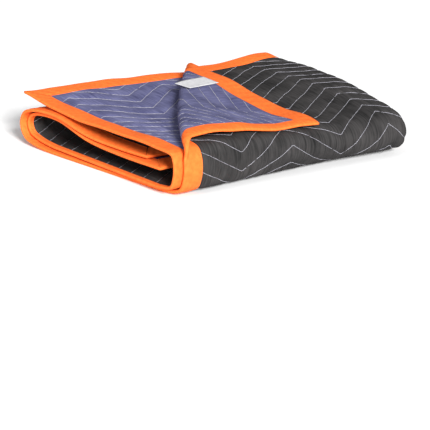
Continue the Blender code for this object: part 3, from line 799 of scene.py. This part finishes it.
label_origin = on_corner(*LABEL_PLACE)
label_in = (on_corner(LABEL_PLACE[0] - LABEL_STEP, LABEL_PLACE[1]) - label_origin).normalized()
label_forward = (on_corner(LABEL_PLACE[0], LABEL_PLACE[1] + LABEL_STEP) - label_origin).normalized()
label_up = label_in.cross(label_forward).normalized()
label_long = (label_forward * math.cos(LABEL_TURN)
              + label_up.cross(label_forward) * math.sin(LABEL_TURN)).normalized()
label_wide = label_up.cross(label_long).normalized()
crease_ends = []
for crease_place in CREASE_SPOTS:
    reach = math.pi * crease_radius(crease_place)
    on_line = HALF_WIDTH - CREASE_ON_REAR * (1 - crease_place / CREASE_ON_SIDE)
    crease_ends.append(on_corner(on_line + reach * PAST_ACROSS, crease_place - reach * PAST_ALONG))
label_beyond = (crease_ends[1] - crease_ends[0]).cross(label_up).normalized()
label_beyond *= math.copysign(1.0, label_beyond.dot(label_long))


def label_point(out, side, high):
    """A point of the label: how far out from its sewn end, how far aside, how high off its back."""
    flat = label_origin + label_long * out + label_wide * side + label_up * (LABEL_GAP + high)
    past = max(0.0, (flat - crease_ends[0]).dot(label_beyond))
    curl = LABEL_CURL * (out / LABEL_LENGTH) ** 2 * (2 * side / LABEL_WIDTH) ** 2
    return flat + label_up * (curl - LABEL_DROOP * past ** 2)


def label_mesh():
    """The label as a thin slab with a grid of points on each side."""
    rows, columns = LABEL_GRID
    grid = [(row / (rows - 1), column / (columns - 1))
            for row in range(rows) for column in range(columns)]
    points = np.array([label_point(LABEL_LENGTH * out, LABEL_WIDTH * (aside - 0.5), high)
                       for high in (LABEL_THICK, 0.0) for out, aside in grid])
    index = np.arange(rows * columns).reshape(rows, columns)
    top = np.stack([index[:-1, :-1], index[:-1, 1:], index[1:, 1:], index[1:, :-1]], axis=-1)
    top = top.reshape(-1, 4)
    border = np.concatenate([index[0, :-1], index[:-1, -1], index[-1, :0:-1], index[:0:-1, 0]])
    low = rows * columns
    walls = [(int(end), int(start), int(start) + low, int(end) + low)
             for start, end in zip(border, np.roll(border, -1))]
    faces = top.tolist() + (top[:, ::-1] + low).tolist() + walls
    places = np.tile(np.array(grid) * (LABEL_LENGTH, LABEL_WIDTH), (2, 1))
    made = finished_mesh("label", points, faces, places)
    if made.data.polygons[0].normal.dot(label_up) < 0:
        made.data.flip_normals()
    return made


label = label_mesh()
print("label at", [round(value, 3) for value in label_origin])

# %% [markdown]
# ## The stitches
#
# There are thousands of stitches of one shape, which is what Geometry Nodes are for. A plain mesh
# holds one point for each stitch, with its turn as an attribute. The node tree lays a slim bead of
# thread on every point and joins them all into one piece. A bead is a little longer than the way
# to the next one, so that a row reads as a drawn line.

# %% A node tree that lays stitches on points
STITCH_SIZES = ("Stitch Length", "Stitch Width", "Stitch Height")
LEAST_STITCH, MOST_STITCH = (0.92, 0.8, 0.8), (1.06, 1.15, 1.2)    # no two stitches are quite alike


def add_node(tree, kind, settings=None, links=None):
    """A node with its settings and inputs set; links names inputs and what feeds them."""
    node = tree.nodes.new(kind)
    for key, value in (settings or {}).items():
        if isinstance(key, str) and key in node.bl_rna.properties:
            setattr(node, key, value)
        else:
            node.inputs[key].default_value = value
    for key, source in (links or {}).items():
        tree.links.new(source, node.inputs[key])
    return node


def stitch_tree():
    """Stitches laid on the points of a mesh, turned by its 'turn' attribute."""
    tree = bpy.data.node_groups.new("lay stitches", "GeometryNodeTree")
    tree.interface.new_socket("Geometry", in_out="INPUT", socket_type="NodeSocketGeometry")
    for socket_name in STITCH_SIZES:
        tree.interface.new_socket(socket_name, in_out="INPUT", socket_type="NodeSocketFloat")
    tree.interface.new_socket("Thread", in_out="INPUT", socket_type="NodeSocketMaterial")
    tree.interface.new_socket("Geometry", in_out="OUTPUT", socket_type="NodeSocketGeometry")
    given = add_node(tree, "NodeGroupInput").outputs
    bead = add_node(tree, "GeometryNodeMeshUVSphere", {"Segments": 4, "Rings": 3, "Radius": 0.5})
    lying = add_node(tree, "GeometryNodeTransform", {"Rotation": (0.0, math.pi / 2, 0.0)},
                     {"Geometry": bead.outputs["Mesh"]})
    size = add_node(tree, "ShaderNodeCombineXYZ", None,
                    {axis: given[socket_name] for axis, socket_name in zip("XYZ", STITCH_SIZES)})
    sized = add_node(tree, "GeometryNodeTransform", None,
                     {"Geometry": lying.outputs["Geometry"], "Scale": size.outputs["Vector"]})
    turn = add_node(tree, "GeometryNodeInputNamedAttribute",
                    {"data_type": "FLOAT_VECTOR", "Name": "turn"})
    turned_by = add_node(tree, "FunctionNodeEulerToRotation", None, {"Euler": turn.outputs["Attribute"]})
    uneven = add_node(tree, "FunctionNodeRandomValue", {
        "data_type": "FLOAT_VECTOR", "Min": LEAST_STITCH, "Max": MOST_STITCH, "Seed": 7})
    laid = add_node(tree, "GeometryNodeInstanceOnPoints", None,
                    {"Points": given["Geometry"], "Instance": sized.outputs["Geometry"],
                     "Rotation": turned_by.outputs["Rotation"], "Scale": uneven.outputs[0]})
    joined = add_node(tree, "GeometryNodeRealizeInstances", None,
                      {"Geometry": laid.outputs["Instances"]})
    painted = add_node(tree, "GeometryNodeSetMaterial", None,
                       {"Geometry": joined.outputs["Geometry"], "Material": given["Thread"]})
    add_node(tree, "NodeGroupOutput", None, {"Geometry": painted.outputs["Geometry"]})
    return tree


STITCH_TREE = stitch_tree()


def lay_stitches(name, points, runs, ups, size, thread):
    """One piece with a stitch at each point, along runs and standing up along ups."""
    forward = runs / np.linalg.norm(runs, axis=1, keepdims=True)
    up = ups - forward * np.sum(ups * forward, axis=1, keepdims=True)
    up /= np.linalg.norm(up, axis=1, keepdims=True)
    aside = np.cross(up, forward)
    turn = np.stack([np.arctan2(aside[:, 2], up[:, 2]), -np.arcsin(np.clip(forward[:, 2], -1, 1)),
                     np.arctan2(forward[:, 1], forward[:, 0])], axis=1)
    mesh = bpy.data.meshes.new(name + "_points")
    mesh.from_pydata(points.tolist(), [], [])
    mesh.attributes.new("turn", "FLOAT_VECTOR", "POINT").data.foreach_set(
        "vector", turn.astype(np.float32).ravel())
    carrier = add_object(name + "_points", mesh)
    modifier = carrier.modifiers.new("stitches", "NODES")
    modifier.node_group = STITCH_TREE
    sockets = {item.name: item.identifier for item in STITCH_TREE.interface.items_tree
               if item.in_out == "INPUT"}
    for socket_name, value in zip(STITCH_SIZES, size):
        modifier[sockets[socket_name]] = value
    modifier[sockets["Thread"]] = thread
    depsgraph = bpy.context.evaluated_depsgraph_get()
    laid = bpy.data.meshes.new_from_object(carrier.evaluated_get(depsgraph), depsgraph=depsgraph)
    laid.name = name
    bpy.data.objects.remove(carrier)
    bpy.data.meshes.remove(mesh)
    print(name, len(points), "stitches,", len(laid.polygons), "faces")
    return add_object(name, laid)


# %% [markdown]
# ## Colours and materials
#
# Every colour is written as its sRGB hex value and turned to linear light by one function, since
# Blender's shaders add up light. The patterns are laid on the cloth's own UV map, which is in
# metres of flat cloth, so their scales are real sizes.

# %% Helpers for materials
def linear(hex_colour):
    """An sRGB hex colour as linear red, green, blue and alpha."""
    parts = [int(hex_colour[place:place + 2], 16) / 255 for place in (1, 3, 5)]
    lit = [part / 12.92 if part <= 0.04045 else ((part + 0.055) / 1.055) ** 2.4 for part in parts]
    return lit + [1.0]


def new_material(name, **settings):
    """A material with a Principled shader, with its tree and its shader."""
    material = bpy.data.materials.new(name)
    material.use_nodes = True
    tree = material.node_tree
    shader = tree.nodes["Principled BSDF"]
    for key, value in settings.items():
        shader.inputs[key.replace("_", " ")].default_value = value
    return material, tree, shader


def rib_scale(spacing):
    """The Wave Texture's scale for bands so many metres apart."""
    return 2 * math.pi / 20 / spacing


def paint_between(tree, shader, share, dark, light):
    """Colour the shader between two colours, by a share from 0 to 1."""
    tone = add_node(tree, "ShaderNodeMix", {"data_type": "RGBA"}, {"Factor": share})
    for socket in tone.inputs:
        if socket.type == "RGBA":
            socket.default_value = linear(dark if socket.name == "A" else light)
    colour = next(output for output in tone.outputs if output.type == "RGBA")
    tree.links.new(colour, shader.inputs["Base Color"])


def lay_bumps(tree, shader, bumps):
    """Lay bumps over one another: the pattern, its strength and its height in metres."""
    links = {}
    for pattern, strength, height in bumps:
        bump = add_node(tree, "ShaderNodeBump", {"Strength": strength, "Distance": height},
                        {"Height": pattern, **links})
        links = {"Normal": bump.outputs["Normal"]}
    tree.links.new(bump.outputs["Normal"], shader.inputs["Normal"])


# %% [markdown]
# ### Stitch-bonded cloth
#
# Both faces are recycled polyester fibre held together by many parallel lines of fine thread. It
# looks like felt with fine ribs that run along the pad. Its loose fibres scatter the light, so it
# is dull and has no clear highlight. Ribs are really 2 mm apart; they are drawn a little coarser,
# so that they stay visible at the picture's scale.

# %% The black and the blue cloth
def bonded_cloth(name, dark, light, sheen):
    """Felted polyester with ribs along the pad, mottled between two colours."""
    material, tree, shader = new_material(name, Roughness=0.88, Sheen_Weight=sheen,
                                          Sheen_Roughness=0.45, Specular_IOR_Level=0.08)
    place = add_node(tree, "ShaderNodeUVMap", {"uv_map": "cloth"}).outputs["UV"]
    stretched = add_node(tree, "ShaderNodeMapping", {"Scale": (1.0, 0.06, 1.0)}, {"Vector": place})
    ribs = add_node(tree, "ShaderNodeTexWave", {"Scale": rib_scale(0.0034), "Distortion": 1.2,
                                                "Detail": 2.0, "Detail Scale": 1.5}, {"Vector": place})
    streaks = add_node(tree, "ShaderNodeTexNoise", {"Scale": 260.0, "Detail": 4.0},
                       {"Vector": stretched.outputs["Vector"]})
    fibres = add_node(tree, "ShaderNodeTexNoise", {"Scale": 480.0, "Detail": 6.0, "Roughness": 0.7},
                      {"Vector": place})
    patches = add_node(tree, "ShaderNodeTexNoise", {"Scale": 14.0, "Detail": 3.0}, {"Vector": place})
    blend = add_node(tree, "ShaderNodeMath", {"operation": "MULTIPLY_ADD", 1: 1.1},
                     {0: streaks.outputs["Fac"], 2: patches.outputs["Fac"]})
    spread = add_node(tree, "ShaderNodeMapRange", {"From Min": 0.70, "From Max": 1.40},
                      {"Value": blend.outputs[0]})
    paint_between(tree, shader, spread.outputs["Result"], dark, light)
    lay_bumps(tree, shader, ((ribs.outputs["Fac"], 0.5, 0.0005), (fibres.outputs["Fac"], 0.6, 0.0007)))
    return material


black_cloth = bonded_cloth("stitch-bonded polyester, black", "#1C1C1C", "#413F3F", 0.0)
blue_cloth = bonded_cloth("stitch-bonded polyester, blue", "#3A3B5E", "#6D6E92", 0.02)

# %% [markdown]
# ### Woven tape, label and thread
#
# The tape is a plain woven polyester strip dyed bright orange. It is smoother than the cloth and
# catches a little light. The label is white satin-woven polyester. The quilting thread is a
# textured light grey polyester, thick enough to read as a drawn line.

# %% The tape, the label and the thread
def woven_strip(name, dark, light, weave, gloss):
    """A finely woven strip, slightly uneven in colour."""
    material, tree, shader = new_material(name, Roughness=gloss, Specular_IOR_Level=0.12)
    place = add_node(tree, "ShaderNodeUVMap", {"uv_map": "cloth"}).outputs["UV"]
    cross = add_node(tree, "ShaderNodeTexWave", {"Scale": rib_scale(weave), "Distortion": 0.6},
                     {"Vector": place})
    length = add_node(tree, "ShaderNodeTexWave",
                      {"bands_direction": "Y", "Scale": rib_scale(weave * 1.3), "Distortion": 0.6},
                      {"Vector": place})
    uneven = add_node(tree, "ShaderNodeTexNoise", {"Scale": 90.0, "Detail": 5.0}, {"Vector": place})
    spread = add_node(tree, "ShaderNodeMapRange", {"From Min": 0.32, "From Max": 0.68},
                      {"Value": uneven.outputs["Fac"]})
    paint_between(tree, shader, spread.outputs["Result"], dark, light)
    drawn = add_node(tree, "ShaderNodeMapping", {"Scale": (1.0, 0.16, 1.0)}, {"Vector": place})
    puckers = add_node(tree, "ShaderNodeTexNoise", {"Scale": 150.0, "Detail": 3.0, "Distortion": 0.4},
                       {"Vector": drawn.outputs["Vector"]})
    lay_bumps(tree, shader, ((puckers.outputs["Fac"], 0.8, 0.0015), (cross.outputs["Fac"], 0.4, 0.0003),
                             (length.outputs["Fac"], 0.4, 0.0003)))
    return material


orange_tape = woven_strip("woven polyester tape, orange", "#E56629", "#F37532", 0.0016, 0.75)
label_satin = woven_strip("satin-woven polyester, white", "#BFBFC1", "#CDCCCE", 0.0009, 0.55)
grey_thread, _, _ = new_material("textured polyester thread, light grey", Base_Color=linear("#93919A"),
                                 Roughness=0.7, Sheen_Weight=0.2)
orange_thread, _, _ = new_material("polyester sewing thread, orange", Base_Color=linear("#B8400E"),
                                   Roughness=0.65, Sheen_Weight=0.1)

for panel, cloth in ((black_panel, black_cloth), (blue_panel, blue_cloth), (label, label_satin)):
    panel.data.materials.append(cloth)
for strip in tapes.values():
    strip.data.materials.append(orange_tape)


# %% [markdown]
# ## Sew it
#
# Each row is walked from side to side at an even stitch length, on both faces. Stitches end where
# the tape starts. The tape's own stitches run a few millimetres in from its inner edge.

# %% Quilting stitches on both faces
STITCH_PITCH = 0.0072
QUILT_STITCH = (0.0100, 0.0013, 0.0012)  # length, width and height of a stitch
BLUE_STITCH = (0.0100, 0.0017, 0.0014)   # drawn thicker, so that it stays visible on the lighter cloth
THREAD_PROUD = 0.0004
FIRST_ROW_SEWN, LAST_ROW_SEWN = -6, 41
ROW_POINTS = 700
BEFORE_TAPE = 0.002
SHORT_STEP = 0.0008                      # on the cloth, to find the directions along and off it


def even_places(across, along, pitch):
    """Places an even distance apart on a line over the flat cloth."""
    reach = np.concatenate([[0.0], np.cumsum(np.hypot(np.diff(across), np.diff(along)))])
    even = np.arange(pitch / 2, reach[-1], pitch)
    return np.interp(even, reach, across), np.interp(even, reach, along)


def on_cloth(across, along, heights, side, run_across, run_along):
    """Points on the folded cloth, with their directions along a run and away from the cloth."""
    here = placed(across, along, side * heights)
    step_across, step_along = run_across * SHORT_STEP, run_along * SHORT_STEP
    runs = (placed(across + step_across, along + step_along, side * heights)
            - placed(across - step_across, along - step_along, side * heights))
    return here, runs, placed(across, along, side * (heights + SHORT_STEP)) - here


def quilting(face):
    """Points, runs and ups of all quilting stitches on one face."""
    found = []
    columns = np.linspace(TURNS[0, 0], TURNS[-1, 0] + PAST_TURNS, ROW_POINTS)
    for number in range(FIRST_ROW_SEWN, LAST_ROW_SEWN + 1):
        across, along = row_place(float(number), columns)
        across, along = even_places(across, along, STITCH_PITCH)
        run_across, run_along = np.gradient(across), np.gradient(along)
        size = np.hypot(run_across, run_along)
        inside = (along > 0) & (along < end_along(across)) & (np.abs(across) < HALF_WIDTH)
        keep = inside & (beside_tapes(face, across, along) > BEFORE_TAPE)
        found.append(np.stack([across, along, run_across / size, run_along / size])[:, keep])
    across, along, run_across, run_along = np.concatenate(found, axis=1)
    heights = skin_half(face, across, along) + THREAD_PROUD
    return on_cloth(across, along, heights, SIDES[face], run_across, run_along)


black_stitches = lay_stitches("black_face_quilting", *quilting(0), QUILT_STITCH, grey_thread)
blue_stitches = lay_stitches("blue_face_quilting", *quilting(1), BLUE_STITCH, grey_thread)


# %% Stitches along the tapes
SEWING_PITCH = 0.0055
SEWING_STITCH = (0.0044, 0.0013, 0.0010)
SEWING_PROUD = 0.0002


def tape_sewing():
    """Points, runs and ups of the stitches along all tapes, on both faces."""
    found = []
    for edge in TAPES:
        for face in (0, 1):
            length = edge_length(edge)
            run = np.arange(SEW_LINE * 3, length - SEW_LINE * 3, SEWING_PITCH)
            inset = tape_width(edge, face, edge_place(edge, run, 0.0)[0]) - SEW_LINE
            at_start, at_end = (TAPES[other][face] - SEW_LINE for other in MEETS[edge])
            keep = (run > at_start) & (run < length - at_end)
            run, inset = run[keep], inset[keep]
            across, along = edge_place(edge, run, inset)
            run_across, run_along = np.gradient(across), np.gradient(along)
            size = np.hypot(run_across, run_along)
            heights = PRESSED_HALF + TAPE_OFF_CLOTH + TAPE_THICK - SEW_SINK + SEWING_PROUD + 0.0 * run
            found.append(on_cloth(across, along, heights, SIDES[face],
                                  run_across / size, run_along / size))
    return [np.concatenate(part) for part in zip(*found)]


tape_stitches = lay_stitches("tape_sewing", *tape_sewing(), SEWING_STITCH, orange_thread)

# %% Stitches across the label's sewn end
LABEL_PITCH = 0.0035
LABEL_STITCH = (0.0028, 0.0007, 0.0006)
LABEL_SEAM_IN = 0.004
SEAM_FROM, SEAM_TO = 0.003 - 0.5 * LABEL_WIDTH, 0.5 * LABEL_WIDTH - 0.002
places_aside = np.arange(SEAM_FROM, SEAM_TO, LABEL_PITCH)
seam = np.array([label_point(LABEL_SEAM_IN, aside, LABEL_THICK) for aside in places_aside])
label_stitches = lay_stitches("label_sewing", seam, np.tile(label_wide, (len(seam), 1)),
                              np.tile(label_up, (len(seam), 1)), LABEL_STITCH, grey_thread)

# %% [markdown]
# ## Floor and light
#
# The pad was shot on white, so it stands on a plain white floor that runs past the picture. The
# light is broad and comes from in front, low enough to make the front fold brighter than the top.

# %% Build the studio
FLOOR_HALF = 9.0
SKY_LIGHT = 0.32
LIGHT_DISTANCE = 3.6
# name, kind, azimuth (0 stands in front, and grows to the right), height angle, power, settings
LIGHTS = (
    ("key, a wide bank of lamps far in front", "SUN", -14, 25, 6.1, {"angle": math.radians(16)}),
    ("top softbox", "AREA", -40, 65, 10, {"size": 1.2}),
    ("left softbox", "AREA", -82, 14, 42, {"size": 1.2}),
)
floor_points = np.array([(-1, -1, 0), (1, -1, 0), (1, 1, 0), (-1, 1, 0)]) * FLOOR_HALF
floor = finished_mesh("studio_floor", floor_points, [(0, 1, 2, 3)])
white_floor, _, _ = new_material("white seamless paper", Base_Color=linear("#F6F6F6"), Roughness=0.9,
                                 Specular_IOR_Level=0.1)
floor.data.materials.append(white_floor)

world = bpy.data.worlds.new("studio")
bpy.context.scene.world = world
world.use_nodes = True
sky = world.node_tree.nodes["Background"]
sky.inputs["Color"].default_value = linear("#FFFFFF")
sky.inputs["Strength"].default_value = SKY_LIGHT

for name, kind, azimuth, height, power, settings in LIGHTS:
    light = bpy.data.lights.new(name, kind)
    light.energy = power
    for key, value in settings.items():
        setattr(light, key, value)
    lamp = add_object(name, light)
    turn, rise = math.radians(azimuth), math.radians(height)
    away = Vector((math.sin(turn) * math.cos(rise), -math.cos(turn) * math.cos(rise), math.sin(rise)))
    lamp.location = away * LIGHT_DISTANCE
    point_along(lamp, -away)
bpy.context.scene.view_settings.view_transform = "Standard"

# %% [markdown]
# ## Tie the pieces to the frame
#
# Each cloth piece takes the place of its CAD solid, which is hidden. Every piece, the stitches
# too, is tied to the frame's root.

STANDS_FOR = (
    (black_panel, "black_face_panel", "black_cloth"),
    (blue_panel, "blue_face_panel", "blue_cloth"),
    *((strip, "binding_" + edge.replace(" ", "_"), "orange_tape") for edge, strip in tapes.items()),
    (label, "blank_label", "white_label"),
)
for piece, node, finish in STANDS_FOR:
    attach(piece, "root")
    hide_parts(node)
for piece, finish in ((black_stitches, "black_cloth"), (blue_stitches, "blue_cloth"),
                      (tape_stitches, "orange_tape"), (label_stitches, "white_label")):
    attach(piece, "root")
